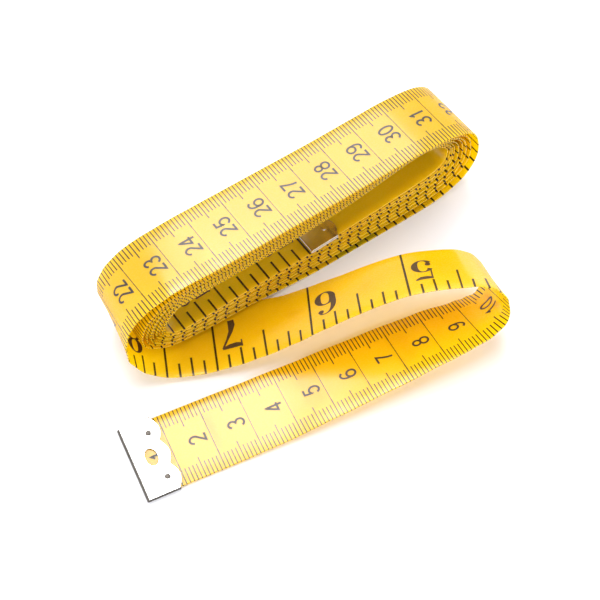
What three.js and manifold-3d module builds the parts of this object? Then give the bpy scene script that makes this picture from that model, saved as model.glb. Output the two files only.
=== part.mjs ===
// A cloth tape measure lying on a table: one printed strip wound as a flat hank, with a folded metal
// tip on each end. Its start lies out in front, curls back over itself, passes under the hank and
// comes up round the left end as the outermost turn.
// Millimetres. x runs along the hank, y from its front edges to its back edges, z up from the table.
import * as THREE from "three";
import Module from "manifold-3d";
import { mergeVertices } from "three/addons/utils/BufferGeometryUtils.js";

const wasm = await Module();
wasm.setup();

// The strip, from the outer end of one tip to the outer end of the other
const TAPE_LENGTH = 2000;
const TAPE_WIDTH = 20;
const TAPE_THICKNESS = 0.35;
const PIECE_GAP = 0.3;

// The tips, folded from sheet over the ends of the strip
const TIP_LENGTH = 9.5;
const TIP_PLATE = 0.2;
const TIP_CLEARANCE = 0.2;
const TIP_OVERHANG = 0.15;
const TIP_LOBES = 3;
const LOBE_DEPTH = 1.2;
const LOBE_STEPS = 8;
const WINDOW_LENGTH = 3;
const WINDOW_WIDTH = 4.9;
const WINDOW_PLACE = 4.9;
const WINDOW_SIDES = 20;
const DIMPLE_DIAMETER = 1.45;
const DIMPLE_DEPTH = 0.1;
const DIMPLE_PLACE = 6.5;
const DIMPLE_SPACING = 12.7;
const DIMPLE_SIDES = 10;

// Lines across the strip, measured along it: the three folds of the free end, then where its lengths meet
const TIP_FOLD = 11;
const FREE_FOLD = 30;
const LIFT_FOLD = 52;
const TAIL_END = 92;
const CURL_END = 126;
const RUN_END = 186;
const BEND_END = 230;

// The fold of the inner end, measured back from the end of the strip
const INNER_FOLD = 29;

// The free stretch, from the start tip to the top of the hank. Each station holds the middle of the strip
// as x and y from the hank's middle plane, the height of its lower edge over the tip's lower plate and
// fold clearance, the heading of its width away from +y, and its roll, which lifts the front edge.
const FREE_ROUTE = [
  [-6.4, -30.9, 0, 10.3, 0],
  [3.4, -32.6, 0, 10.3, 0],
  [13.2, -34.4, 0, 10.3, 0],
  [28, -37.1, 0, 10.4, 1.5],
  [42.7, -39.7, 0, 10.6, 6.1],
  [57.4, -42.3, 0.2, 11, 11],
  [72.1, -45, 0.3, 11.5, 17.1],
  [82, -47, -0.1, 11.6, 24],
  [85.8, -47.4, -0.1, 12.6, 28.5],
  [89.3, -47.1, 0.5, 15.8, 33.2],
  [91.3, -45.5, 3.1, 21.4, 35.4],
  [90.8, -43, 6.3, 27, 33.5],
  [88.4, -40.5, 8.6, 29.9, 29.6],
  [84.3, -37.6, 9.7, 30.5, 26.3],
  [74.7, -32.3, 9.5, 30.4, 25],
  [67.6, -29.1, 7.8, 30.3, 24.4],
  [60.6, -26.3, 5.5, 30, 23.6],
  [53.5, -23.5, 3.2, 29.3, 21.8],
  [46.4, -20.6, 0.9, 28, 18.5],
  [39.3, -17.5, 0, 26.5, 12.9],
  [32.1, -14.3, -0.2, 25.6, 7.5],
  [24.9, -10.9, -0.2, 25.3, 3.8],
  [17.7, -7.5, 0.9, 25.3, 2.6],
  [12.8, -5, 2.8, 23.5, 5.5],
  [9, -2.9, 6.2, 18.5, 10.3],
  [7.8, -1.8, 9.5, 12, 12.5],
  [8, -1, 13.3, 6.5, 12.2],
  [9.9, -0.4, 17.1, 3, 10.1],
  [13.1, -0.2, 20, 1.1, 7.5],
  [19, 0, 22.3, 0.2, 4.5],
  [25, 0, 23.1, 0, 2.7],
];

// One turn of the hank, station by station from the top left. Each holds x and the height of the strip's
// underside on the outermost turn, the direction in which later turns follow, and the space between turns.
const HANK_TURN = [
  [25, 23.9, -90, 0.475],
  [34, 23.9, -90, 0.475],
  [55, 23.9, -90, 0.475],
  [74, 23.9, -97, 0.475],
  [88, 24.3, -109, 0.5],
  [97.5, 24.4, -121, 0.585],
  [108, 22.8, -142, 0.8],
  [112.7, 19, -165, 0.87],
  [114, 10.5, 158, 1],
  [110.5, 4.6, 137, 1.22],
  [102.5, 0.9, 117, 1.32],
  [90, 0, 105, 1.2],
  [62, 0, 90, 0.93],
  [42, 2.1, 90, 0.65],
  [26, 3, 85, 0.52],
  [16.5, 5, 45, 0.62],
  [11.1, 10.2, 16, 0.64],
  [11.7, 16.2, -17, 0.6],
  [16.6, 21.2, -47, 0.57],
];

const STEPS_PER_STATION = 2;
const LENGTH_DIVISIONS_PER_STATION = 60;

const TAPE_COLOUR = 0xf2c21c;
const TAPE_ROUGHNESS = 0.55;
const TIP_COLOUR = 0xc9c6bd;
const TIP_ROUGHNESS = 0.3;

const HALF_WIDTH = TAPE_WIDTH / 2;
const HALF_THICKNESS = TAPE_THICKNESS / 2;
const HALF_GAP = PIECE_GAP / 2;
const TIP_LIFT = TIP_PLATE + TIP_CLEARANCE;
const TIP_HALF_THICKNESS = HALF_THICKNESS + TIP_LIFT;
const TIP_WIDTH = TAPE_WIDTH + 2 * TIP_OVERHANG;

const radians = THREE.MathUtils.degToRad;

// The stations of the whole strip: the free stretch, then as many turns of the hank as its length needs
function stripStations() {
  const stations = FREE_ROUTE.map(([x, y, low, heading, roll]) => {
    const rise = HALF_THICKNESS + HALF_WIDTH * Math.sin(radians(roll));
    return { place: new THREE.Vector3(x, y, TIP_LIFT + low + rise), heading, roll };
  });
  let length = 0;
  for (let index = 1; index < stations.length; index += 1) {
    length += stations[index].place.distanceTo(stations[index - 1].place);
  }
  for (let turn = 0; length < TAPE_LENGTH + TAPE_WIDTH; turn += 1) {
    const stretch = turn === 0 ? HANK_TURN.slice(1) : HANK_TURN;
    for (const [x, low, inward, space] of stretch) {
      const depth = turn * (TAPE_THICKNESS + space);
      const place = new THREE.Vector3(x, 0, low + HALF_THICKNESS);
      place.x += depth * Math.cos(radians(inward));
      place.z += depth * Math.sin(radians(inward));
      length += place.distanceTo(stations.at(-1).place);
      stations.push({ place, heading: 0, roll: 0 });
    }
  }
  return stations;
}

const stations = stripStations();
const path = new THREE.CatmullRomCurve3(stations.map((station) => station.place));
path.arcLengthDivisions = stations.length * LENGTH_DIVISIONS_PER_STATION;
const turning = new THREE.CatmullRomCurve3(
  stations.map((station) => new THREE.Vector3(station.heading, station.roll, 0)),
  false,
  "catmullrom",
);

// The share of the path's parameter at a distance along the strip
function shareAt(distance) {
  return path.getUtoTmapping(0, distance);
}

// The strip's middle and its three directions: along it, across it, and out of its printed upper face
function frameAt(share) {
  const place = path.getPoint(share);
  place.z = Math.max(place.z, HALF_THICKNESS);
  const along = path.getTangent(share);
  const turn = turning.getPoint(share);
  const heading = radians(turn.x);
  const roll = radians(turn.y);
  const across = new THREE.Vector3(
    Math.sin(heading) * Math.cos(roll),
    Math.cos(heading) * Math.cos(roll),
    -Math.sin(roll),
  );
  across.addScaledVector(along, -across.dot(along)).normalize();
  const face = new THREE.Vector3().crossVectors(along, across);
  return { place, along, across, face };
}

// The sections between two distances: both ends, and evenly between the stations
function sectionShares(from, to) {
  const first = shareAt(from);
  const last = shareAt(to);
  const step = 1 / ((stations.length - 1) * STEPS_PER_STATION);
  const shares = [first];
  for (let index = Math.ceil(first / step); index * step < last; index += 1) {
    const clear = Math.min(index * step - first, last - index * step);
    if (clear > step / STEPS_PER_STATION) {
      shares.push(index * step);
    }
  }
  shares.push(last);
  return shares;
}

// A closed solid of the strip between two distances along it
function stripGeometry(from, to) {
  const corners = [[-1, -1], [1, -1], [1, 1], [-1, 1]];
  const shares = sectionShares(from, to);
  const points = [];
  for (const share of shares) {
    const { place, across, face } = frameAt(share);
    for (const [side, level] of corners) {
      const corner = place.clone();
      corner.addScaledVector(across, side * HALF_WIDTH);
      corner.addScaledVector(face, level * HALF_THICKNESS);
      points.push(corner);
    }
  }
  const count = corners.length;
  const triangles = [];
  for (let ring = 0; ring + 1 < shares.length; ring += 1) {
    for (let corner = 0; corner < count; corner += 1) {
      const next = (corner + 1) % count;
      const [a, b] = [ring * count + corner, ring * count + next];
      const [c, d] = [b + count, a + count];
      // Both faces split along the same diagonal, so that no twist passes one through the other
      if (corners[corner][0] < 0) {
        triangles.push(a, b, c, a, c, d);
      } else {
        triangles.push(a, b, d, b, c, d);
      }
    }
  }
  const end = points.length - count;
  triangles.push(0, 3, 2, 0, 2, 1);
  triangles.push(end, end + 1, end + 2, end, end + 2, end + 3);
  const geometry = new THREE.BufferGeometry().setFromPoints(points);
  geometry.setIndex(triangles);
  geometry.computeVertexNormals();
  return geometry;
}

// The least space between two turns of the strip, measured from points to the chords of other turns
function leastGap(from, to) {
  const places = sectionShares(from, to).map((share) => frameAt(share).place);
  const apart = (HANK_TURN.length * STEPS_PER_STATION) / 2;
  const chord = new THREE.Line3();
  const nearest = new THREE.Vector3();
  let least = Infinity;
  for (let point = 0; point < places.length; point += 1) {
    for (let start = 0; start + 1 < places.length; start += 1) {
      if (Math.abs(start - point) > apart) {
        chord.set(places[start], places[start + 1]).closestPointToPoint(places[point], true, nearest);
        least = Math.min(least, nearest.distanceTo(places[point]) - TAPE_THICKNESS);
      }
    }
  }
  return least;
}

function solidOf(geometry) {
  const bare = geometry.clone();
  bare.deleteAttribute("normal");
  bare.deleteAttribute("uv");
  const merged = mergeVertices(bare);
  const mesh = new wasm.Mesh({
    numProp: 3,
    vertProperties: new Float32Array(merged.attributes.position.array),
    triVerts: new Uint32Array(merged.index.array),
  });
  return new wasm.Manifold(mesh);
}

function geometryOf(solid) {
  const mesh = solid.getMesh();
  const geometry = new THREE.BufferGeometry();
  geometry.setAttribute("position", new THREE.BufferAttribute(mesh.vertProperties, mesh.numProp));
  geometry.setIndex(new THREE.BufferAttribute(mesh.triVerts, 1));
  geometry.computeVertexNormals();
  return geometry;
}

// The outline of a tip: straight at the end of the strip and lobed at its inner edge
function tipOutline() {
  const outline = new THREE.Shape();
  outline.moveTo(0, -TIP_WIDTH / 2);
  const steps = TIP_LOBES * LOBE_STEPS;
  for (let step = 0; step <= steps; step += 1) {
    const share = step / steps;
    const hollow = LOBE_DEPTH * (1 - Math.abs(Math.sin(Math.PI * TIP_LOBES * share)));
    outline.lineTo(TIP_LENGTH - hollow, (share - 1 / 2) * TIP_WIDTH);
  }
  outline.lineTo(0, TIP_WIDTH / 2);
  outline.closePath();
  return outline;
}

// A folded tip: two lobed plates joined at the end, each with an oval window and two dimples
function tipGeometry() {
  const depth = 2 * TIP_HALF_THICKNESS;
  const block = new THREE.ExtrudeGeometry(tipOutline(), { depth, bevelEnabled: false });
  block.translate(0, 0, -TIP_HALF_THICKNESS);
  const slot = new THREE.BoxGeometry(TIP_LENGTH, 2 * TIP_WIDTH, TAPE_THICKNESS + 2 * TIP_CLEARANCE);
  slot.translate(TIP_PLATE + TIP_LENGTH / 2, 0, 0);
  const window = new THREE.CylinderGeometry(1, 1, 2 * depth, WINDOW_SIDES);
  window.rotateX(Math.PI / 2);
  window.scale(WINDOW_LENGTH / 2, WINDOW_WIDTH / 2, 1);
  window.translate(WINDOW_PLACE, 0, 0);
  let tip = solidOf(block).subtract(solidOf(slot)).subtract(solidOf(window));
  const radius = DIMPLE_DIAMETER / 2;
  for (const side of [-1, 1]) {
    for (const level of [-1, 1]) {
      const dimple = new THREE.CylinderGeometry(radius, radius, 2 * DIMPLE_DEPTH, DIMPLE_SIDES);
      dimple.rotateX(Math.PI / 2);
      dimple.translate(DIMPLE_PLACE, (side * DIMPLE_SPACING) / 2, level * TIP_HALF_THICKNESS);
      tip = tip.subtract(solidOf(dimple));
    }
  }
  return geometryOf(tip);
}

function addStrip(group, name, from, to) {
  const material = new THREE.MeshStandardMaterial({ color: TAPE_COLOUR, roughness: TAPE_ROUGHNESS });
  const mesh = new THREE.Mesh(stripGeometry(from, to), material);
  mesh.name = name;
  group.add(mesh);
}

// Sets a tip on an end of the strip, with its plates running inwards from there
function addTip(group, name, distance, inwards) {
  const material = new THREE.MeshStandardMaterial({
    color: TIP_COLOUR,
    roughness: TIP_ROUGHNESS,
    metalness: 1,
  });
  const { place, across } = frameAt(shareAt(distance));
  const inner = frameAt(shareAt(distance + inwards * TIP_LENGTH)).place;
  const along = inner.sub(place).normalize();
  across.addScaledVector(along, -across.dot(along)).normalize();
  const face = new THREE.Vector3().crossVectors(along, across);
  const mesh = new THREE.Mesh(tipGeometry(), material);
  const turn = new THREE.Matrix4().makeBasis(along, across, face);
  mesh.quaternion.setFromRotationMatrix(turn);
  mesh.position.copy(place);
  mesh.name = name;
  group.add(mesh);
}

const tapeMeasure = new THREE.Group();
const innerFold = TAPE_LENGTH - INNER_FOLD;

addTip(tapeMeasure, "start_tip", 0, 1);
addStrip(tapeMeasure, "tape_start", TIP_LIFT, TIP_FOLD - HALF_GAP);
addStrip(tapeMeasure, "tape_free", TIP_FOLD + HALF_GAP, FREE_FOLD - HALF_GAP);
addStrip(tapeMeasure, "tape_lift", FREE_FOLD + HALF_GAP, LIFT_FOLD - HALF_GAP);
addStrip(tapeMeasure, "tape_tail", LIFT_FOLD + HALF_GAP, TAIL_END - HALF_GAP);
addStrip(tapeMeasure, "tape_curl", TAIL_END + HALF_GAP, CURL_END - HALF_GAP);
addStrip(tapeMeasure, "tape_run", CURL_END + HALF_GAP, RUN_END - HALF_GAP);
addStrip(tapeMeasure, "tape_bend", RUN_END + HALF_GAP, BEND_END - HALF_GAP);
addStrip(tapeMeasure, "tape_hank", BEND_END + HALF_GAP, innerFold - HALF_GAP);
addStrip(tapeMeasure, "tape_inner_end", innerFold + HALF_GAP, TAPE_LENGTH - TIP_LIFT);
addTip(tapeMeasure, "end_tip", TAPE_LENGTH, -1);

const gap = leastGap(BEND_END + HALF_GAP, innerFold - HALF_GAP);
console.log(`Least gap of the wound strip to itself: ${gap.toFixed(2)} mm`);

// The origin lies under the middle of the whole object, on the table
const extent = new THREE.Box3().setFromObject(tapeMeasure);
const middle = extent.getCenter(new THREE.Vector3());
tapeMeasure.position.set(-middle.x, -middle.y, -extent.min.z);
tapeMeasure.updateMatrixWorld(true);

export default tapeMeasure;
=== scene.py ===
import bisect
import math

import bmesh
import bpy
from mathutils import Matrix, Vector


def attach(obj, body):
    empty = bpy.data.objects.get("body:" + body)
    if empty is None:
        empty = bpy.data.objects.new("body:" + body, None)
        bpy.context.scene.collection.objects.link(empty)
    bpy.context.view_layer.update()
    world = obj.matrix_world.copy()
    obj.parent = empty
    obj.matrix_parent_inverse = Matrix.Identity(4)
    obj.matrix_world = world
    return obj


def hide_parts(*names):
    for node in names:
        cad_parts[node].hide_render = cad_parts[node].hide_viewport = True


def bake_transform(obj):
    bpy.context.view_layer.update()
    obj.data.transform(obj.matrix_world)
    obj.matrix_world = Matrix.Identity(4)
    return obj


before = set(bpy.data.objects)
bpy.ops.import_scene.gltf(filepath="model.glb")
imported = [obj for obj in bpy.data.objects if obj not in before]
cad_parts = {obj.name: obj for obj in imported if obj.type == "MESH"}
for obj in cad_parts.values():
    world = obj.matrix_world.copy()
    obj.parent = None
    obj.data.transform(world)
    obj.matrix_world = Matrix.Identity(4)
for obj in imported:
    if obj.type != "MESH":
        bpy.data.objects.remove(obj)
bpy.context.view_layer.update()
scene = bpy.context.scene
scene.view_settings.view_transform = "Standard"

MM = 0.001

# The camera, at the photograph's viewing angle
CAMERA_PLACE = Vector((-0.1019, -0.15133, 0.28199))
CAMERA_RIGHT = Vector((0.82207, -0.56886, -0.02459))
CAMERA_FORWARD = Vector((0.3003, 0.46986, -0.83009))
CAMERA_LENS = 79.355
CAMERA_NEAR = 0.01

camera_data = bpy.data.cameras.new("camera")
camera_data.lens = CAMERA_LENS
camera_data.clip_start = CAMERA_NEAR
camera = bpy.data.objects.new("camera", camera_data)
camera_up = CAMERA_RIGHT.cross(CAMERA_FORWARD)
camera_turn = Matrix((CAMERA_RIGHT, camera_up, -CAMERA_FORWARD)).transposed()
camera.matrix_world = Matrix.Translation(CAMERA_PLACE) @ camera_turn.to_4x4()
scene.collection.objects.link(camera)
scene.camera = camera

# The strip and its tips, in millimetres
TAPE_WIDTH = 20
TAPE_THICKNESS = 0.35
TIP_PLATE = 0.2
TIP_CLEARANCE = 0.2
TIP_LIFT = TIP_PLATE + TIP_CLEARANCE
HALF_WIDTH = TAPE_WIDTH / 2
HALF_THICKNESS = TAPE_THICKNESS / 2

# Where the strip's end lies on the floor of the eye, and the shift from the hank's frame to the part's
END_X = 61.65
SHIFT = Vector((-53.0196, 22.9955, 0))

# Lines across the strip, measured along it from its start, or from its end for the inner ones: the
# folds, and where one piece of the scene meets the next
TIP_FOLD = 11
FREE_FOLD = 30
LIFT_FOLD = 52
START_END = 20
FREE_END = 41
LIFT_END = 70
INNER_FOLD = 29
INNER_PIECE = 44

# The free stretch, from the start tip to the top of the hank. Each station holds the middle of the strip
# as x and y from the hank's middle plane, the height of its lower edge, the heading of its width away
# from +y, and its roll, which lifts the front edge.
FREE_ROUTE = [
    (-6.4, -30.9, 0, 10.3, 0),
    (3.4, -32.6, 0, 10.3, 0),
    (13.2, -34.4, 0, 10.3, 0),
    (28, -37.1, 0, 10.4, 1.5),
    (42.7, -39.7, 0, 10.6, 6.1),
    (57.4, -42.3, 0.2, 11, 11),
    (72.1, -45, 0.3, 11.5, 17.1),
    (82, -47, -0.1, 11.6, 24),
    (85.8, -47.4, -0.1, 12.6, 28.5),
    (89.3, -47.1, 0.5, 15.8, 33.2),
    (91.3, -45.5, 3.1, 21.4, 35.4),
    (90.8, -43, 6.3, 27, 33.5),
    (88.4, -40.5, 8.6, 29.9, 29.6),
    (84.3, -37.6, 9.7, 30.5, 26.3),
    (74.7, -32.3, 9.5, 30.4, 25),
    (67.6, -29.1, 7.8, 30.3, 24.4),
    (60.6, -26.3, 5.5, 30, 23.6),
    (53.5, -23.5, 3.2, 29.3, 21.8),
    (46.4, -20.6, 0.9, 28, 18.5),
    (39.3, -17.5, 0, 26.5, 12.9),
    (32.1, -14.3, -0.2, 25.6, 7.5),
    (24.9, -10.9, -0.2, 25.3, 3.8),
    (17.7, -7.5, 0.9, 25.3, 2.6),
    (12.8, -5, 2.8, 23.5, 5.5),
    (9, -2.9, 6.2, 18.5, 10.3),
    (7.8, -1.8, 9.5, 12, 12.5),
    (8, -1, 13.3, 6.5, 12.2),
    (9.9, -0.4, 17.1, 3, 10.1),
    (13.1, -0.2, 20, 1.1, 7.5),
    (19, 0, 22.3, 0.2, 4.5),
    (25, 0, 23.1, 0, 2.7),
]

# One turn of the hank, station by station from the top left: x and z of the outermost turn, x and z of
# the innermost one, and how far back from the front the innermost one lies
HANK_TURN = [
    (25, 24.08, 27.5, 18.6, 0),
    (34, 24.08, 35, 18.7, 0),
    (55, 24.08, 55, 19, 0),
    (74, 24.08, 73.3, 20, 0.4),
    (88, 24.48, 86, 20.9, 1.2),
    (97.5, 24.58, 95.4, 21.3, 1.8),
    (108, 22.98, 101.9, 20.4, 1.6),
    (112.7, 19.18, 104.1, 17.7, 1.2),
    (114, 10.68, 102.9, 14.6, 0.8),
    (110.5, 4.78, 99.5, 13, 0.5),
    (102.5, 1.08, 94, 12.1, 0.4),
    (90, 0.18, 84.3, 11.1, 0.4),
    (62, 0.18, 60.3, 9.65, 0.3),
    (42, 2.28, 41, 9.2, 0.2),
    (26, 3.18, 28, 8.7, 0.1),
    (16.5, 5.18, 20.9, 9.1, 0),
    (11.1, 10.38, 17.6, 11.8, 0),
    (11.7, 16.38, 18.9, 14.7, 0),
    (16.6, 21.38, 22, 17.5, 0),
]

# How far each turn lies from the outermost one towards the innermost where the turns have room between
# them, and its own set to the front or back. Where they lie close, they share the space evenly.
TURN_SHARES = [0, 0.229, 0.389, 0.474, 0.619, 0.744, 0.839, 0.905, 1]
TURN_SETS = [0, 0.1, -0.1, 0.15, -0.05, 0.1, -0.1, 0.05, 0]
CLOSE_ROOM = 4.5
WIDE_ROOM = 9

# Steps of the curve from one station to the next, and the station of the last turn, at the right of the
# eye, after which the strip's end is looked for
STEPS_PER_STATION = 12
RIGHT_OF_EYE = 8


def strip_stations():
    """The stations of the whole strip, as place, heading and roll."""
    stations = []
    for x, y, low, heading, roll in FREE_ROUTE:
        rise = HALF_THICKNESS + HALF_WIDTH * math.sin(math.radians(roll))
        stations.append((Vector((x, y, TIP_LIFT + low + rise)), heading, roll))
    for turn, share in enumerate(TURN_SHARES):
        even = turn / (len(TURN_SHARES) - 1)
        stretch = HANK_TURN if turn else HANK_TURN[1:]
        for x, z, inner_x, inner_z, back in stretch:
            outer = Vector((x, TURN_SETS[turn], z))
            inner = Vector((inner_x, back + TURN_SETS[turn], inner_z))
            room = ((inner - outer).length - CLOSE_ROOM) / (WIDE_ROOM - CLOSE_ROOM)
            own = even + (share - even) * min(max(room, 0), 1)
            stations.append((outer.lerp(inner, own), 0, 0))
    return stations


def smooth_route(points, index, share):
    """A point of the smooth curve through all the points, at a share of the way from one to the next."""
    here, there = points[index], points[index + 1]
    before = points[index - 1] if index else here * 2 - there
    after = points[index + 2] if index + 2 < len(points) else there * 2 - here
    first = math.sqrt((here - before).length)
    step = math.sqrt((there - here).length)
    last = math.sqrt((after - there).length)
    leave = (here - before) / first - (there - before) / (first + step) + (there - here) / step
    arrive = (there - here) / step - (after - here) / (step + last) + (after - there) / last
    leave, arrive = leave * step, arrive * step
    square, cube = share**2, share**3
    return (
        here * (2 * cube - 3 * square + 1)
        + leave * (cube - 2 * square + share)
        + there * (3 * square - 2 * cube)
        + arrive * (cube - square)
    )


def strip_frames():
    """The strip's frames in order, each as distance, place, across and face, all in millimetres."""
    stations = strip_stations()
    points = [place for place, heading, roll in stations]
    places, turns = [], []
    for index in range(len(stations) - 1):
        for step in range(STEPS_PER_STATION):
            share = step / STEPS_PER_STATION
            place = smooth_route(points, index, share)
            place.z = max(place.z, HALF_THICKNESS)
            places.append(place)
            ease = share * share * (3 - 2 * share)
            here, there = stations[index], stations[index + 1]
            turns.append((here[1] + (there[1] - here[1]) * ease, here[2] + (there[2] - here[2]) * ease))
    frames = []
    distance = 0
    for index, place in enumerate(places):
        if index:
            distance += (place - places[index - 1]).length
        ahead = places[min(index + 1, len(places) - 1)]
        along = (ahead - places[max(index - 1, 0)]).normalized()
        heading, roll = (math.radians(angle) for angle in turns[index])
        flat = math.cos(roll)
        across = Vector((math.sin(heading) * flat, math.cos(heading) * flat, -math.sin(roll)))
        across = (across - along * across.dot(along)).normalized()
        frames.append((distance, place + SHIFT, across, along.cross(across)))
    return frames


frames = strip_frames()
distances = [entry[0] for entry in frames]
last_turn = len(FREE_ROUTE) + (len(TURN_SHARES) - 1) * len(HANK_TURN)
last_pass = (last_turn + RIGHT_OF_EYE) * STEPS_PER_STATION
end_index = next(i for i in range(last_pass, len(frames)) if frames[i][1].x - SHIFT.x < END_X)
TAPE_LENGTH = distances[end_index]


def frame_at(distance):
    """The strip's place, across and face at a distance along it."""
    index = min(max(bisect.bisect(distances, distance) - 1, 0), len(frames) - 2)
    start, place, across, face = frames[index]
    end, next_place, next_across, next_face = frames[index + 1]
    share = (distance - start) / (end - start)
    return place.lerp(next_place, share), across.lerp(next_across, share), face.lerp(next_face, share)


def on_strip(distance, sideways, level):
    """A point in metres: along the strip, sideways from its middle, and out from its middle plane."""
    place, across, face = frame_at(distance)
    return (place + across * sideways + face * level) * MM


def add_mesh(name, points, faces, materials, smooth=True):
    """A new object of the scene, from points and faces."""
    mesh = bpy.data.meshes.new(name)
    mesh.from_pydata(points, [], faces)
    for material in materials:
        mesh.materials.append(material)
    mesh.polygons.foreach_set("use_smooth", [smooth] * len(mesh.polygons))
    mesh.validate()
    thing = bpy.data.objects.new(name, mesh)
    scene.collection.objects.link(thing)
    return thing


# The colour sockets of a Mix node, by their number
MIX_FIRST = 6
MIX_SECOND = 7
MIX_RESULT = 2

NOISE_DETAIL = 2.0


class Nodes:
    """The node tree of a material or a world, with short ways to add to it."""

    def __init__(self, holder):
        self.holder = holder
        holder.use_nodes = True
        self.tree = holder.node_tree
        self.tree.nodes.clear()

    def add(self, kind, inputs=None, **settings):
        node = self.tree.nodes.new(kind)
        for key, value in settings.items():
            setattr(node, key, value)
        for key, value in (inputs or {}).items():
            self.put(value, node.inputs[key])
        return node

    def put(self, value, socket):
        if isinstance(value, bpy.types.NodeSocket):
            self.tree.links.new(value, socket)
        else:
            socket.default_value = value

    def math(self, operation, *values):
        node = self.add("ShaderNodeMath", operation=operation)
        for value, socket in zip(values, node.inputs):
            self.put(value, socket)
        return node.outputs[0]

    def either(self, *masks):
        mask = masks[0]
        for other in masks[1:]:
            mask = self.math("MAXIMUM", mask, other)
        return mask

    def mix(self, share, first, second):
        node = self.add("ShaderNodeMix", data_type="RGBA")
        self.put(share, node.inputs["Factor"])
        self.put(first, node.inputs[MIX_FIRST])
        self.put(second, node.inputs[MIX_SECOND])
        return node.outputs[MIX_RESULT]

    def scaled(self, value, low, high, to_low, to_high):
        node = self.add("ShaderNodeMapRange")
        for entry, socket in zip((value, low, high, to_low, to_high), node.inputs):
            self.put(entry, socket)
        return node.outputs[0]

    def noise(self, place, scale, detail=NOISE_DETAIL):
        node = self.add("ShaderNodeTexNoise", {"Vector": place, "Scale": scale, "Detail": detail})
        return node.outputs["Fac"]

    def finish(self, shader, kind="ShaderNodeOutputMaterial"):
        output = self.add(kind)
        self.tree.links.new(shader, output.inputs["Surface"])
        return self.holder


# Colours, as they look in plain light, and the painted shade of the cloth's edges and of the tips' dark
# steel
TAPE_YELLOW = (0.99, 0.8, 0.01, 1)
TAPE_DEEP = (0.98, 0.77, 0.008, 1)
THROUGH_ORANGE = (0.99, 0.76, 0.006, 1)
THROUGH_SHARE = 0.66
# Painted shade: the olive that the cut edges are darkened to, for the shade that falls between the hank's
# layers
EDGE_SHADE_OLIVE = (0.86, 0.66, 0.02, 1)
CM_INK = (0.025, 0.02, 0.012, 1)
INCH_INK = (0.05, 0.026, 0.006, 1)
BRIGHT_STEEL = (0.8, 0.79, 0.77, 1)
# Dark steel: partly the duller metal of the cut rims, partly painted shade and painted dark reflection on
# the fold, flanges and dimples
CUT_AND_SHADED_STEEL = (0.16, 0.145, 0.13, 1)

# The cloth: its patches and grain, how the painted olive shade of its edges sets in, how well it holds the
# ink, its weave, and its gloss
PATCH_SCALE = 0.11
PATCH_DETAIL = 3.0
PATCH_SPREAD = (0.3, 0.7)
GRAIN_SCALE = 2.6
GRAIN_SPREAD = (0.2, 0.8)
EDGE_SHADE_LEVELS = (0.95, 0.6)
EDGE_SHADE_SHARE = 0.55
HOLD_SPREAD = (0.25, 0.5)
INK_HOLD = (0.7, 0.95)
WEAVE_PITCH = 0.42
WEAVE_HEIGHT = 0.5
GRAIN_HEIGHT = 1.4
CLOTH_BUMP = {"Strength": 0.22, "Distance": 0.02 * MM}
CLOTH_ROUGHNESS = (0.22, 0.32)
CLOTH_GLOSS = {"IOR": 1.5, "Coat Weight": 1.0, "Coat IOR": 1.95, "Coat Roughness": 0.22}

# The ink: its grain, how much paler its pale spots are, and its gloss
INK_GRAIN = 2600.0
INK_SPREAD = (0.35, 0.7)
INK_PALER = 1.9
INK_LIFT = 0.004
INK_BUMP = {"Strength": 0.2, "Distance": 0.02 * MM}
INK_ROUGHNESS = (0.3, 0.42)
INK_GLOSS = {"IOR": 1.5, "Coat Weight": 0.12, "Coat Roughness": 0.3}

# The steel: its brushing and dents, how much duller it is in them, and how rough it is
BRUSH_STRETCH = (900.0, 90.0, 900.0)
BRUSH_SCALE = 12.0
BRUSH_DETAIL = 3.0
BRUSH_HEIGHT = 0.3
DENT_SCALE = 420.0
DENT_DETAIL = 1.0
DENT_SPREAD = (0.4, 0.7)
DENT_DULLER = 0.86
STEEL_BUMP = {"Strength": 0.12, "Distance": 0.03 * MM}
BRIGHT_ROUGHNESS = 0.16
CUT_ROUGHNESS = 0.55
ROUGHNESS_SPREAD = (-0.06, 0.08)

# The print of the two faces, in millimetres: spacing, width and length of each kind of tick, the last
# numbers, and where the inch ticks stop
CM = 10
CM_TICKS = [(CM / 10, 0.275, 4), (CM / 2, 0.275, 5.5), (CM, 0.19, TAPE_WIDTH)]
INCH = 25.4
INCH_TICKS = [(INCH / 8, 0.56, 4), (INCH / 4, 0.56, 5.4), (INCH / 2, 0.56, 9), (INCH, 0.58, TAPE_WIDTH + 1)]
LAST_CM = 199
LAST_INCH = 76
INCH_SCALE_END = 76.9 * INCH

# The attribute that tells where on the strip a point lies: along it, across it, and its level from -1 on
# the inch face to 1 on the cm face
STRIP_DATA = "strip"


def tick_mask(nodes, along, aside, ticks):
    """1 on the ticks and 0 beside them, with aside as the way in from the edge that they start from."""
    masks = []
    for spacing, width, length in ticks:
        apart = nodes.math("PINGPONG", along, spacing / 2)
        line = nodes.math("LESS_THAN", apart, width / 2)
        reach = nodes.math("LESS_THAN", aside, length)
        masks.append(nodes.math("MULTIPLY", line, reach))
    return nodes.either(*masks)


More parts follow.
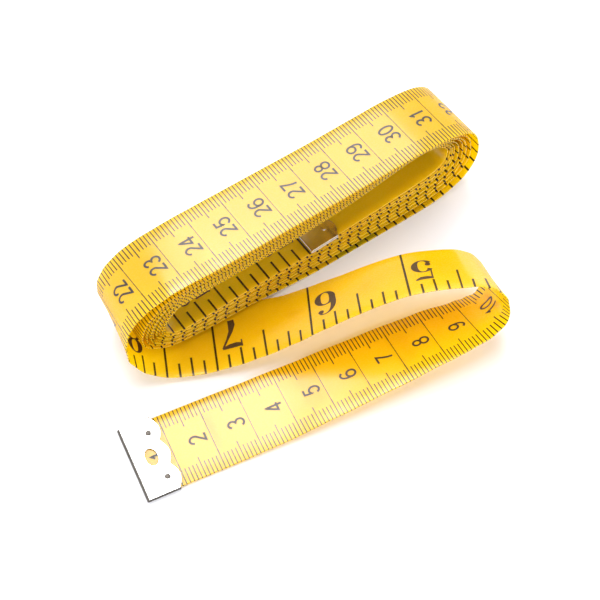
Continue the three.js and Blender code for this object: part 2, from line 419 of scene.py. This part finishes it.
def tape_material():
    """Coated cloth: the printed yellow coat, its fine weave, and the light that comes through it."""
    nodes = Nodes(bpy.data.materials.new("tape_coated_cloth"))
    data = nodes.add("ShaderNodeAttribute", attribute_name=STRIP_DATA).outputs["Vector"]
    parts = nodes.add("ShaderNodeSeparateXYZ", {"Vector": data}).outputs
    along, aside, level = parts[0], parts[1], parts[2]
    nearest = nodes.math("MINIMUM", aside, nodes.math("SUBTRACT", TAPE_WIDTH, aside))
    cm_ticks = tick_mask(nodes, along, nearest, CM_TICKS)
    inch_ticks = tick_mask(nodes, along, aside, INCH_TICKS)
    inch_ticks = nodes.math("MULTIPLY", inch_ticks, nodes.math("LESS_THAN", along, INCH_SCALE_END))
    outside = nodes.math("SUBTRACT", 1.0, nodes.add("ShaderNodeNewGeometry").outputs["Backfacing"])
    upper = nodes.math("MULTIPLY", nodes.math("GREATER_THAN", level, 0.0), outside)
    lower = nodes.math("MULTIPLY", nodes.math("LESS_THAN", level, 0.0), outside)
    cm_ticks = nodes.math("MULTIPLY", cm_ticks, upper)
    inch_ticks = nodes.math("MULTIPLY", inch_ticks, lower)

    flat = nodes.add("ShaderNodeCombineXYZ", {"X": along, "Y": aside, "Z": level}).outputs[0]
    patches = nodes.noise(flat, PATCH_SCALE, PATCH_DETAIL)
    grain = nodes.noise(flat, GRAIN_SCALE)
    ground = nodes.mix(nodes.scaled(patches, *PATCH_SPREAD, 0.0, 1.0), TAPE_YELLOW, TAPE_DEEP)
    # Painted shade on the cut edges: olive where the level leaves the two faces, for the shade between
    # layers
    edge = nodes.scaled(nodes.math("ABSOLUTE", level), *EDGE_SHADE_LEVELS, 0.0, EDGE_SHADE_SHARE)
    ground = nodes.mix(edge, ground, EDGE_SHADE_OLIVE)
    ink_hold = nodes.scaled(grain, *HOLD_SPREAD, *INK_HOLD)
    colour = nodes.mix(nodes.math("MULTIPLY", cm_ticks, ink_hold), ground, CM_INK)
    colour = nodes.mix(nodes.math("MULTIPLY", inch_ticks, ink_hold), colour, INCH_INK)

    pitch = 2 * math.pi / WEAVE_PITCH
    warp = nodes.math("SINE", nodes.math("MULTIPLY", along, pitch))
    weft = nodes.math("SINE", nodes.math("MULTIPLY", aside, pitch))
    weave = nodes.math("MULTIPLY", nodes.math("MULTIPLY", warp, weft), WEAVE_HEIGHT)
    waves = nodes.math("ADD", weave, nodes.math("MULTIPLY", grain, GRAIN_HEIGHT))
    bump = nodes.add("ShaderNodeBump", {"Height": waves, **CLOTH_BUMP})
    cloth = nodes.add(
        "ShaderNodeBsdfPrincipled",
        {
            "Base Color": colour,
            "Roughness": nodes.scaled(grain, *GRAIN_SPREAD, *CLOTH_ROUGHNESS),
            "Normal": bump.outputs[0],
            **CLOTH_GLOSS,
        },
    )
    through = nodes.mix(nodes.math("MAXIMUM", cm_ticks, inch_ticks), THROUGH_ORANGE, CM_INK)
    glow = nodes.add("ShaderNodeBsdfTranslucent", {"Color": through, "Normal": bump.outputs[0]})
    both = nodes.add("ShaderNodeMixShader", {"Fac": THROUGH_SHARE, 1: cloth.outputs[0], 2: glow.outputs[0]})
    return nodes.finish(both.outputs[0])


def ink_material(name, colour):
    """Printing ink on the coat, a little uneven and less glossy than the coat."""
    nodes = Nodes(bpy.data.materials.new(name))
    place = nodes.add("ShaderNodeTexCoord").outputs["Object"]
    grain = nodes.noise(place, INK_GRAIN)
    pale = tuple(channel * INK_PALER + INK_LIFT for channel in colour[:3]) + (1,)
    bump = nodes.add("ShaderNodeBump", {"Height": grain, **INK_BUMP})
    ink = nodes.add(
        "ShaderNodeBsdfPrincipled",
        {
            "Base Color": nodes.mix(nodes.scaled(grain, *INK_SPREAD, 0.0, 1.0), colour, pale),
            "Roughness": nodes.scaled(grain, *GRAIN_SPREAD, *INK_ROUGHNESS),
            "Normal": bump.outputs[0],
            **INK_GLOSS,
        },
    )
    inside = nodes.add("ShaderNodeNewGeometry").outputs["Backfacing"]
    glow = nodes.add("ShaderNodeBsdfTranslucent", {"Color": THROUGH_ORANGE})
    both = nodes.add("ShaderNodeMixShader", {"Fac": inside, 1: ink.outputs[0], 2: glow.outputs[0]})
    return nodes.finish(both.outputs[0])


def steel_material(name, colour, roughness):
    """Thin pressed sheet with fine brushing and small dents."""
    nodes = Nodes(bpy.data.materials.new(name))
    place = nodes.add("ShaderNodeTexCoord").outputs["Object"]
    stretch = nodes.add("ShaderNodeMapping", {"Vector": place, "Scale": BRUSH_STRETCH})
    brushing = nodes.noise(stretch.outputs[0], BRUSH_SCALE, BRUSH_DETAIL)
    dents = nodes.noise(place, DENT_SCALE, DENT_DETAIL)
    height = nodes.math("ADD", nodes.math("MULTIPLY", brushing, BRUSH_HEIGHT), dents)
    bump = nodes.add("ShaderNodeBump", {"Height": height, **STEEL_BUMP})
    dull = tuple(channel * DENT_DULLER for channel in colour[:3]) + (1,)
    least, most = [roughness + spread for spread in ROUGHNESS_SPREAD]
    steel = nodes.add(
        "ShaderNodeBsdfPrincipled",
        {
            "Base Color": nodes.mix(nodes.scaled(dents, *DENT_SPREAD, 0.0, 1.0), colour, dull),
            "Metallic": 1.0,
            "Roughness": nodes.scaled(brushing, *GRAIN_SPREAD, least, most),
            "Normal": bump.outputs[0],
        },
    )
    return nodes.finish(steel.outputs[0])


cloth = tape_material()
cm_ink = ink_material("cm_ink", CM_INK)
inch_ink = ink_material("inch_ink", INCH_INK)
bright_steel = steel_material("bright_steel", BRIGHT_STEEL, BRIGHT_ROUGHNESS)
cut_and_shaded_steel = steel_material("cut_and_shaded_steel", CUT_AND_SHADED_STEEL, CUT_ROUGHNESS)

# The strip's section: cells across each flat face, and cells round each rounded edge
FACE_CELLS = 8
EDGE_CELLS = 6

# Rings nearer to a piece's end than this are left out, and steeper edges than this are drawn sharp
RING_CLEARANCE = 0.02
STRIP_SHARP = 60


def strip_section():
    """The section's points anticlockwise, as sideways from the middle and out from the middle plane."""
    straight = HALF_WIDTH - HALF_THICKNESS
    section = []
    for side in (1, -1):
        for cell in range(EDGE_CELLS + 1):
            angle = math.pi * (cell / EDGE_CELLS - 0.5)
            sideways = straight + HALF_THICKNESS * math.cos(angle)
            section.append((side * sideways, side * HALF_THICKNESS * math.sin(angle)))
        for cell in range(1, FACE_CELLS):
            section.append((side * straight * (1 - 2 * cell / FACE_CELLS), side * HALF_THICKNESS))
    return section


# The map that the strip is baked through: its skin opened along one edge and laid in rows of about so
# many millimetres, an edge cell's share of the height of a face's cell, and how much of a row is filled
BAKE_MAP = "OFBake"
BAKE_ROW = 126
BAKE_EDGE = 0.2
BAKE_FILL = 0.96


def bake_heights(section):
    """How far round the opened skin each point of the section lies, from 0 to 1 where it closes."""
    heights = [0]
    for (_, level), (_, next_level) in zip(section, section[1:] + section[:1]):
        heights.append(heights[-1] + (1 if level == next_level else BAKE_EDGE))
    return [height / heights[-1] for height in heights]


def bake_places(rings, section):
    """Each corner's place on the map, face by face: the first end, the skin ring by ring, the last end."""
    heights = bake_heights(section)
    start = rings[0]
    rows = max(1, round((rings[-1] - start) / BAKE_ROW))
    row_length = (rings[-1] - start) / rows
    longest = max(far - near for near, far in zip(rings, rings[1:]))
    cap = [(height * (1 - BAKE_FILL), (1 - height * (1 - BAKE_FILL)) / rows) for height in heights[:-1]]
    places = list(reversed(cap))
    for near, far in zip(rings, rings[1:]):
        row = min(int((near - start) / row_length), rows - 1)
        left, right = [(edge - start - row * row_length) / (row_length + longest) for edge in (near, far)]
        for pair in zip(heights, heights[1:]):
            low, high = [(row + height * BAKE_FILL) / rows for height in pair]
            places += [(left, low), (left, high), (right, high), (right, low)]
    return places + cap


def add_strip(name, start, end):
    """A closed length of the strip between two distances along it."""
    inside = [entry for entry in distances if start + RING_CLEARANCE < entry < end - RING_CLEARANCE]
    rings = [start] + inside + [end]
    section = strip_section()
    count = len(section)
    points, data = [], []
    for distance in rings:
        place, across, face = frame_at(distance)
        for sideways, level in section:
            points.append((place + across * sideways + face * level) * MM)
            data.append((distance, sideways + HALF_WIDTH, level / HALF_THICKNESS))
    faces = [tuple(reversed(range(count)))]
    for ring in range(len(rings) - 1):
        for corner in range(count):
            here = ring * count + corner
            beside = ring * count + (corner + 1) % count
            faces.append((here, beside, beside + count, here + count))
    faces.append(tuple(range(len(points) - count, len(points))))
    strip = add_mesh(name, points, faces, [cloth])
    baked = strip.data.uv_layers.new(name=BAKE_MAP)
    places = bake_places(rings, section)
    baked.uv.foreach_set("vector", [value for place in places for value in place])
    attribute = strip.data.attributes.new(STRIP_DATA, "FLOAT_VECTOR", "POINT")
    attribute.data.foreach_set("vector", [value for entry in data for value in entry])
    strip.data.set_sharp_from_angle(angle=math.radians(STRIP_SHARP))
    return strip


# Numbers, drawn as strokes in a box of unit width and height. A stroke is a list of points, each with
# its x and y and, on the inch face, its width in millimetres. It is closed where it ends where it began.
CM_STROKE = 0.56
ARC_STEP = 15

# A numeral's height and width in millimetres, with narrower ones where an inch label has two
CM_HEIGHT = 4.2
CM_WIDTH = 2.5
INCH_HEIGHT = 9.6
INCH_WIDTH = 5.65
INCH_PAIR_WIDTH = 4.7


def arc(middle, radii, start, end, width=None):
    """Points on an ellipse between two angles in degrees."""
    steps = max(2, round(abs(end - start) / ARC_STEP))
    points = []
    for step in range(steps + 1):
        angle = math.radians(start + (end - start) * step / steps)
        point = (middle[0] + radii[0] * math.cos(angle), middle[1] + radii[1] * math.sin(angle))
        points.append(point if width is None else point + (width(angle),))
    return points


def turned(strokes):
    """Strokes turned half round in their box."""
    return [[(1 - point[0], 1 - point[1]) + tuple(point[2:]) for point in stroke] for stroke in strokes]


SIX = [
    arc((0.5, 0.3), (0.4, 0.27), 0, 360),
    arc((0.54, 0.56), (0.44, 0.41), 42, 180) + [(0.1, 0.3)],
]
CM_DIGITS = {
    "0": [arc((0.5, 0.5), (0.4, 0.47), 0, 360)],
    "1": [[(0.26, 0.76), (0.42, 0.84), (0.57, 0.97), (0.57, 0.02)]],
    "2": [arc((0.5, 0.7), (0.38, 0.27), 170, -35) + [(0.12, 0.03), (0.92, 0.03)]],
    "3": [arc((0.48, 0.74), (0.34, 0.23), 160, -80) + arc((0.47, 0.27), (0.41, 0.25), 75, -160)],
    "4": [[(0.68, 0.01), (0.68, 0.97), (0.07, 0.29), (0.95, 0.29)]],
    "5": [[(0.86, 0.95), (0.27, 0.95), (0.17, 0.49)] + arc((0.48, 0.32), (0.41, 0.3), 140, -155)],
    "6": SIX,
    "7": [[(0.08, 0.95), (0.9, 0.95), (0.62, 0.6), (0.45, 0.3), (0.38, 0.01)]],
    "8": [arc((0.5, 0.74), (0.33, 0.23), 0, 360), arc((0.5, 0.27), (0.41, 0.25), 0, 360)],
    "9": turned(SIX),
}


def swelling(thin, thick):
    """A stroke's width round a bowl: thin at top and bottom, thick at the sides."""
    return lambda angle: thin + (thick - thin) * math.cos(angle) ** 2


THIN = 0.36
THICK = 1.7
BOLD_BOWL = swelling(THIN, THICK)
BALL = 1.45


def ball(x, y):
    """A round end of a bold stroke, drawn as a short closed stroke."""
    half = BALL / 4
    return arc((x, y), (half / INCH_WIDTH, half / INCH_HEIGHT), 0, 360, lambda angle: BALL / 2)


BOLD_SIX = [
    arc((0.52, 0.3), (0.35, 0.27), 0, 360, BOLD_BOWL),
    arc((0.6, 0.53), (0.45, 0.44), 60, 180, swelling(THIN, 1.5)) + [(0.16, 0.3, 1.4)],
    ball(0.78, 0.84),
]
BOLD_DIGITS = {
    "0": [arc((0.5, 0.5), (0.36, 0.47), 0, 360, BOLD_BOWL)],
    "1": [
        [(0.5, 0.98, THICK), (0.5, 0.03, THICK)],
        [(0.16, 0.02, THIN), (0.84, 0.02, THIN)],
        [(0.14, 0.87, THIN), (0.3, 0.9, 0.6), (0.5, 0.97, 0.4)],
    ],
    "2": [
        arc((0.48, 0.72), (0.34, 0.26), 165, -25, BOLD_BOWL) + [(0.4, 0.3, 0.9), (0.1, 0.07, 0.5)],
        [(0.08, 0.08, 1.2), (0.4, 0.09, 1.5), (0.72, 0.06, 1.2), (0.9, 0.12, 0.5), (0.94, 0.27, THIN)],
        ball(0.22, 0.74),
    ],
    "3": [
        arc((0.46, 0.75), (0.31, 0.23), 150, -80, swelling(THIN, 1.5)),
        arc((0.45, 0.28), (0.36, 0.26), 80, -150, BOLD_BOWL),
        ball(0.24, 0.79),
        ball(0.2, 0.22),
    ],
    "4": [
        [(0.68, 0.97, 1.5), (0.68, 0.03, 1.5)],
        [(0.6, 0.96, 0.5), (0.05, 0.29, 0.45)],
        [(0.05, 0.27, 0.5), (0.98, 0.27, 0.5)],
        [(0.42, 0.02, THIN), (0.94, 0.02, THIN)],
    ],
    "5": [
        [(0.17, 0.98, 0.45), (0.15, 0.52, 0.4)],
        [(0.15, 0.93, 0.9), (0.4, 0.9, 1.35), (0.65, 0.9, 1.3), (0.9, 0.97, 0.5)],
        arc((0.47, 0.31), (0.36, 0.29), 150, -150, BOLD_BOWL),
        ball(0.22, 0.23),
    ],
    "6": BOLD_SIX,
    "7": [
        [(0.08, 0.76, THIN), (0.08, 0.99, 0.5)],
        [(0.08, 0.92, 1), (0.32, 0.9, 1.5), (0.6, 0.91, 1.4), (0.94, 0.95, 0.7)],
        [(0.93, 0.95, 0.5), (0.7, 0.68, 0.6), (0.5, 0.42, 1.1), (0.42, 0.2, 1.8), (0.44, 0.04, 1.7)],
    ],
    "8": [
        arc((0.5, 0.755), (0.28, 0.225), 0, 360, swelling(THIN, 1.4)),
        arc((0.5, 0.28), (0.36, 0.26), 0, 360, BOLD_BOWL),
    ],
    "9": turned(BOLD_SIX),
}

# The space between two numerals, and how far a cm label's middle or an inch label's end lies before its
# line. An inch label's middle lies this far in from the edge that the ticks start from.
CM_SPACE = 0.45
CM_BEFORE = 3.3
INCH_SPACE = 0.5
INCH_BEFORE = 1.64
INCH_MIDDLE = 10.4

# How far the ink stands out of the face and how thick it is, the longest step along a stroke, the gap at
# which its ends close, and the least cosine by which its width is spread at a corner
INK_RISE = 0.012
INK_DEPTH = 0.022
LONGEST_STEP = 0.5
CLOSED_GAP = 1e-4
LEAST_LEAN = 0.6


def stroke_outline(stroke, width, height):
    """A stroke in millimetres, as pairs of left and right points."""
    points = []
    for point in stroke:
        breadth = point[2] if len(point) > 2 else CM_STROKE
        points.append((Vector((point[0] * width, point[1] * height)), breadth))
    fine = [points[0]]
    for (here, wide), (there, broad) in zip(points, points[1:]):
        steps = max(1, math.ceil((there - here).length / LONGEST_STEP))
        for step in range(1, steps + 1):
            share = step / steps
            fine.append((here.lerp(there, share), wide + (broad - wide) * share))
    closed = (fine[0][0] - fine[-1][0]).length < CLOSED_GAP
    if closed:
        fine.pop()
    pairs = []
    for index, (place, breadth) in enumerate(fine):
        before = fine[index - 1][0] if index or closed else place
        after = fine[(index + 1) % len(fine)][0] if index + 1 < len(fine) or closed else place
        going = (place - before).normalized() + (after - place).normalized()
        side = Vector((-going.y, going.x)).normalized()
        ahead = after - place
        lean = side.dot(Vector((-ahead.y, ahead.x)).normalized()) if after != place else 1
        reach = breadth / 2 / max(lean, LEAST_LEAN)
        pairs.append((place + side * reach, place - side * reach))
    return pairs, closed


class Print:
    """The numbers on one length of the strip, as one mesh of thin ink with the faces on its underside."""

    def __init__(self):
        self.points = []
        self.faces = []
        self.under = []

    def add_stroke(self, pairs, closed, put):
        """Adds a stroke as a thin closed solid, with put giving a point at a level out of the face."""
        base = len(self.points)
        for left, right in pairs:
            for point, level in ((left, 0), (right, 0), (right, 1), (left, 1)):
                self.points.append(put(point, level))
        count = len(pairs)
        for index in range(count if closed else count - 1):
            here = base + 4 * index
            there = base + 4 * ((index + 1) % count)
            for corner in range(4):
                beside = (corner + 1) % 4
                if corner == 0:
                    self.under.append(len(self.faces))
                self.faces.append((here + corner, there + corner, there + beside, here + beside))
        if not closed:
            self.faces.append((base, base + 1, base + 2, base + 3))
            end = base + 4 * (count - 1)
            self.faces.append((end + 3, end + 2, end + 1, end))


def add_cm_label(ink, number):
    """A number that reads along its line, on the cm face."""
    line = CM * number
    text = str(number)
    total = len(text) * CM_WIDTH + (len(text) - 1) * CM_SPACE
    for place, digit in enumerate(text):
        left = place * (CM_WIDTH + CM_SPACE) - total / 2

        def put(point, level):
            distance = line - CM_BEFORE + CM_HEIGHT / 2 - point.y
            rise = HALF_THICKNESS + INK_RISE - INK_DEPTH * (1 - level)
            return on_strip(distance, left + point.x, rise)

        for stroke in CM_DIGITS[digit]:
            ink.add_stroke(*stroke_outline(stroke, CM_WIDTH, CM_HEIGHT), put)


def add_inch_label(ink, number):
    """A number that reads along the strip, on the inch face."""
    line = INCH * number
    text = str(number)
    width = INCH_WIDTH if len(text) == 1 else INCH_PAIR_WIDTH
    total = len(text) * width + (len(text) - 1) * INCH_SPACE
    for place, digit in enumerate(text):
        left = place * (width + INCH_SPACE) - total - INCH_BEFORE

        def put(point, level):
            sideways = INCH_MIDDLE - HALF_WIDTH + INCH_HEIGHT / 2 - point.y
            rise = HALF_THICKNESS + INK_RISE - INK_DEPTH * (1 - level)
            return on_strip(line + left + point.x, sideways, -rise)

        for stroke in BOLD_DIGITS[digit]:
            ink.add_stroke(*stroke_outline(stroke, width, INCH_HEIGHT), put)


def add_numbers(name, start, end, kind):
    """The numbers of one face whose labels lie between two distances."""
    ink = Print()
    if kind == "cm":
        for number in range(1, LAST_CM + 1):
            if start <= CM * number - CM_BEFORE < end:
                add_cm_label(ink, number)
        material = cm_ink
    else:
        for number in range(1, LAST_INCH + 1):
            if start <= INCH * number - INCH_WIDTH < end:
                add_inch_label(ink, number)
        material = inch_ink
    numbers = add_mesh(name, ink.points, ink.faces, [material, cloth], smooth=False)
    for index in ink.under:
        numbers.data.polygons[index].material_index = 1
    return numbers


# The folded tips, in millimetres and degrees. A point within RIM_PULL cells of a dimple's rim is moved
# to it, and the window's rim is made of the open edge's points within WINDOW_PULL times its radii.
TIP_LENGTH = 9.5
TIP_WIDTH = TAPE_WIDTH + 0.3
TIP_LOBES = 3
LOBE_DEPTH = 1.2
WINDOW_RADII = (1.5, 2.45)
WINDOW_PLACE = 4.9
DIMPLE_PLACE = 6.5
DIMPLE_SPACING = 12.7
DIMPLE_RADIUS = 0.75
DIMPLE_DEPTH = 0.18
TIP_FLANGE = 0.42
TIP_CELL = 0.25
RIM_PULL = 0.55
RIM_SLACK = 1.01
WINDOW_PULL = 1.3
FOLD_CELLS = 8
TIP_BEVEL = 0.03
BEVEL_CELLS = 2
BEVEL_ANGLE = 60
TIP_SHARP = 40
TIP_RADIUS = HALF_THICKNESS + TIP_CLEARANCE + TIP_PLATE / 2


def lobed_edge(sideways):
    """How far in from the strip's end a plate reaches, at a place across it."""
    share = sideways / TIP_WIDTH + 0.5
    return TIP_LENGTH - LOBE_DEPTH * (1 - abs(math.sin(math.pi * TIP_LOBES * share)))


def tip_columns():
    """Places across a plate, each with how far it turns in towards the strip's edge."""
    count = round(TIP_WIDTH / TIP_CELL)
    columns = [(TIP_WIDTH * (column / count - 0.5), 0) for column in range(count + 1)]
    return [(-TIP_WIDTH / 2, TIP_FLANGE)] + columns + [(TIP_WIDTH / 2, TIP_FLANGE)]


def tip_plate(level):
    """The middle surface of one plate, as rows of points across it, running inwards from the fold."""
    rows = round(TIP_LENGTH / TIP_CELL)
    grid = []
    for row in range(rows + 1):
        line = []
        for sideways, turned_in in tip_columns():
            inwards = TIP_RADIUS + (lobed_edge(sideways) - TIP_RADIUS) * row / rows
            line.append(press(Vector((inwards, sideways, level * (TIP_RADIUS - turned_in))), level))
        grid.append(line)
    return grid


def press(point, level):
    """A plate's point moved to a dimple's rim where it lies close to it, or pushed in inside it."""
    for side in (-1, 1):
        middle = Vector((DIMPLE_PLACE, side * DIMPLE_SPACING / 2, point.z))
        away = (point - middle).length
        if abs(away - DIMPLE_RADIUS) < RIM_PULL * TIP_CELL:
            return middle + (point - middle) * (DIMPLE_RADIUS / away)
        if away < DIMPLE_RADIUS:
            return point - Vector((0, 0, level * DIMPLE_DEPTH * (1 - (away / DIMPLE_RADIUS) ** 2)))
    return point


def in_dimple(point):
    """Whether a plate's point lies in a dimple or on its rim."""
    aside = abs(point.y) - DIMPLE_SPACING / 2
    return math.hypot(point.x - DIMPLE_PLACE, aside) < DIMPLE_RADIUS * RIM_SLACK


def window_share(point):
    """How far a point lies from the window's middle, with 1 on the window's rim."""
    return math.hypot((point.x - WINDOW_PLACE) / WINDOW_RADII[0], point.y / WINDOW_RADII[1])


def fold_row(angle):
    """A row of points across the fold, at an angle round it."""
    row = []
    for sideways, turned_in in tip_columns():
        radius = TIP_RADIUS - turned_in
        row.append(Vector((TIP_RADIUS + radius * math.cos(angle), sideways, radius * math.sin(angle))))
    return row


def tip_sheet(painted_shade):
    """A tip's middle surface: two lobed plates joined by a fold, with painted shade on its fold, flanges
    and dimples or without.
    """
    mesh = bmesh.new()
    upper, lower = tip_plate(1), tip_plate(-1)
    rows = list(reversed(upper))
    for cell in range(1, FOLD_CELLS):
        rows.append(fold_row(math.pi * (0.5 + cell / FOLD_CELLS)))
    rows += lower
    fold_rows = range(len(upper) - 1, len(upper) + FOLD_CELLS - 1)
    grid = [[mesh.verts.new(point) for point in row] for row in rows]
    for place, (row, below) in enumerate(zip(grid, grid[1:])):
        for column in range(len(row) - 1):
            face = mesh.faces.new((row[column], row[column + 1], below[column + 1], below[column]))
            at_edge = place in fold_rows or column in (0, len(row) - 2)
            pressed = all(in_dimple(corner.co) for corner in face.verts)
            # Painted shade and painted dark reflection: the fold, flange and dimple cells take the dark
            # steel
            face.material_index = int(painted_shade and (pressed or at_edge))
    in_window = [face for face in mesh.faces if window_share(face.calc_center_median()) < 1]
    bmesh.ops.delete(mesh, geom=in_window, context="FACES")
    for vertex in mesh.verts:
        share = window_share(vertex.co)
        if vertex.is_boundary and share < WINDOW_PULL:
            vertex.co.x = WINDOW_PLACE + (vertex.co.x - WINDOW_PLACE) / share
            vertex.co.y /= share
    mesh.normal_update()
    return mesh


def thicken(tip):
    """Gives a tip's sheet its thickness and fine bevels, and keeps the result as its mesh."""
    thick = tip.modifiers.new("thick", "SOLIDIFY")
    thick.thickness = TIP_PLATE * MM
    thick.offset = 0
    thick.use_even_offset = True
    # The cut rims take the dark steel: duller cut metal, with painted shade along them
    thick.material_offset_rim = 1
    edges = tip.modifiers.new("edges", "BEVEL")
    edges.width = TIP_BEVEL * MM
    edges.segments = BEVEL_CELLS
    edges.limit_method = "ANGLE"
    edges.angle_limit = math.radians(BEVEL_ANGLE)
    bpy.context.view_layer.update()
    ready = tip.evaluated_get(bpy.context.evaluated_depsgraph_get())
    solid = bpy.data.meshes.new_from_object(ready)
    tip.modifiers.clear()
    tip.data = solid
    solid.polygons.foreach_set("use_smooth", [True] * len(solid.polygons))
    solid.set_sharp_from_angle(angle=math.radians(TIP_SHARP))


def add_tip(name, end, inwards, painted_shade):
    """A tip on an end of the strip: one sheet with two lobed plates, folded round the end."""
    mesh = tip_sheet(painted_shade)
    middle, across, face = frame_at(end)
    inner = frame_at(end + inwards * TIP_LENGTH)[0]
    along = (inner - middle).normalized()
    across = (across - along * across.dot(along)).normalized()
    face = along.cross(across)
    turn = Matrix((along, across, face)).transposed().to_4x4()
    mesh.transform(Matrix.Scale(MM, 4) @ Matrix.Translation(middle) @ turn)
    data = bpy.data.meshes.new(name)
    mesh.to_mesh(data)
    mesh.free()
    data.materials.append(bright_steel)
    data.materials.append(cut_and_shaded_steel)
    tip = bpy.data.objects.new(name, data)
    scene.collection.objects.link(tip)
    thicken(tip)
    return tip


# The reach along the strip before and after each fold, listed with each piece
TIP_BEND = (1.4, 1.6)
FREE_BEND = (5, 5)
LIFT_BEND = (6, 6)
INNER_BEND = (6, 6)


def bend(first, second, fold, reach):
    """A fold's two bodies, and where along the strip its bend starts and ends."""
    return first, second, fold - reach[0], fold + reach[1]


# The pieces of the strip, each with where it starts and ends, the nodes that it replaces, and its fold
inner_start = TAPE_LENGTH - INNER_PIECE
inner_fold = TAPE_LENGTH - INNER_FOLD
inner_end = TAPE_LENGTH - TIP_LIFT
WOUND_NODES = ["tape_tail", "tape_curl", "tape_run", "tape_bend", "tape_hank"]
PIECES = [
    ("start", TIP_LIFT, START_END, ["tape_start"], bend("start", "free", TIP_FOLD, TIP_BEND)),
    ("free", START_END, FREE_END, ["tape_free"], bend("free", "lift", FREE_FOLD, FREE_BEND)),
    ("lift", FREE_END, LIFT_END, ["tape_lift"], bend("lift", "hank", LIFT_FOLD, LIFT_BEND)),
    ("wound", LIFT_END, inner_start, WOUND_NODES, None),
    ("inner", inner_start, inner_end, ["tape_inner_end"], bend("hank", "inner", inner_fold, INNER_BEND)),
]


def carry(thing, fold):
    """Moves a piece with the hank, or keeps a piece with a fold where it lies, its place baked into its
    mesh.
    """
    if fold is None:
        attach(thing, "hank")
    else:
        first, second, start, end = fold
        tuple(on_strip(start, 0, 0))
        tuple(on_strip(end, 0, 0))
        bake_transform(thing)


for name, start, end, nodes, fold in PIECES:
    strip = add_strip(f"strip_{name}", start, end)
    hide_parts(*nodes)
    carry(strip, fold)
    for kind in ("cm", "inch"):
        label = add_numbers(f"numbers_{kind}_{name}", start, end, kind)
        if not len(label.data.vertices):
            bpy.data.objects.remove(label)
            continue
        carry(label, fold)

# The tips, each with its end of the strip, the way in from it, whether its fold, flanges and dimples show
# dark with painted shade and painted dark reflection, and its body
TIPS = [("start_tip", 0, 1, True, "start"), ("end_tip", TAPE_LENGTH, -1, False, "inner")]
for name, end, inwards, painted_shade, body in TIPS:
    tip = add_tip(f"folded_{name}", end, inwards, painted_shade)
    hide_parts(name)
    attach(tip, body)

# The table, as the cloth is lit by it and as it is seen
FLOOR_SIZE = 3.0
BOARD_WHITE = (0.9, 0.9, 0.9, 1)
SEEN_WHITE = (0.93, 0.93, 0.97, 1)


def floor_material():
    """A white table that keeps the object's shadow."""
    nodes = Nodes(bpy.data.materials.new("white_table"))
    path = nodes.add("ShaderNodeLightPath").outputs
    seen = nodes.either(path["Is Camera Ray"], path["Is Glossy Ray"], path["Is Transmission Ray"])
    board = nodes.add("ShaderNodeBsdfDiffuse", {"Color": BOARD_WHITE})
    bright = nodes.add("ShaderNodeBsdfDiffuse", {"Color": SEEN_WHITE})
    both = nodes.add("ShaderNodeMixShader", {"Fac": seen, 1: board.outputs[0], 2: bright.outputs[0]})
    return nodes.finish(both.outputs[0])


half = FLOOR_SIZE / 2
floor = add_mesh(
    "table",
    [(-half, -half, 0), (half, -half, 0), (half, half, 0), (-half, half, 0)],
    [(0, 1, 2, 3)],
    [floor_material()],
    smooth=False,
)

# The soft boxes, one overhead and two behind that level surfaces mirror to the camera, each with the way
# to it, its distance, its size and its power
SOFT_BOXES = [
    ("top_box", Vector((0, 0.06, 1)), 1.0, 0.55, 5.0),
    ("back_box", Vector((0.28, 0.49, 0.825)), 0.8, 0.34, 1.8),
    ("near_box", Vector((0.16, 0.44, 0.884)), 0.8, 0.2, 0.8),
]

# The room's light: the level of its front and back walls, where one passes into the other, the level
# of its ceiling, and where the walls pass into it
FRONT_WALL = 2.6
BACK_WALL = 4.0
WALL_SPREAD = (0.2, 0.75)
CEILING_LEVEL = 0.0
WALL_TOP = (0.4, 0.7)


def add_soft_box(name, side, distance, size, power):
    """A square lamp that faces the object."""
    data = bpy.data.lights.new(name, "AREA")
    data.shape = "SQUARE"
    data.size = size
    data.energy = power
    lamp = bpy.data.objects.new(name, data)
    lamp.location = side * distance
    lamp.rotation_euler = side.to_track_quat("Z", "Y").to_euler()
    scene.collection.objects.link(lamp)


def room_world():
    """Pale walls that light the object, and plain white where they are seen or mirrored."""
    nodes = Nodes(bpy.data.worlds.new("room"))
    way = nodes.add("ShaderNodeTexCoord").outputs["Generated"]
    parts = nodes.add("ShaderNodeSeparateXYZ", {"Vector": way}).outputs
    wall = nodes.scaled(parts["Y"], *WALL_SPREAD, FRONT_WALL, BACK_WALL)
    level = nodes.scaled(parts["Z"], *WALL_TOP, wall, CEILING_LEVEL)
    path = nodes.add("ShaderNodeLightPath").outputs
    seen = nodes.either(path["Is Camera Ray"], path["Is Glossy Ray"], path["Is Transmission Ray"])
    shown = nodes.add("ShaderNodeMix", {"Factor": seen, "A": level, "B": 1.0})
    sky = nodes.add("ShaderNodeBackground", {"Color": (1, 1, 1, 1), "Strength": shown.outputs[0]})
    return nodes.finish(sky.outputs[0], "ShaderNodeOutputWorld")


for soft_box in SOFT_BOXES:
    add_soft_box(*soft_box)
scene.world = room_world()
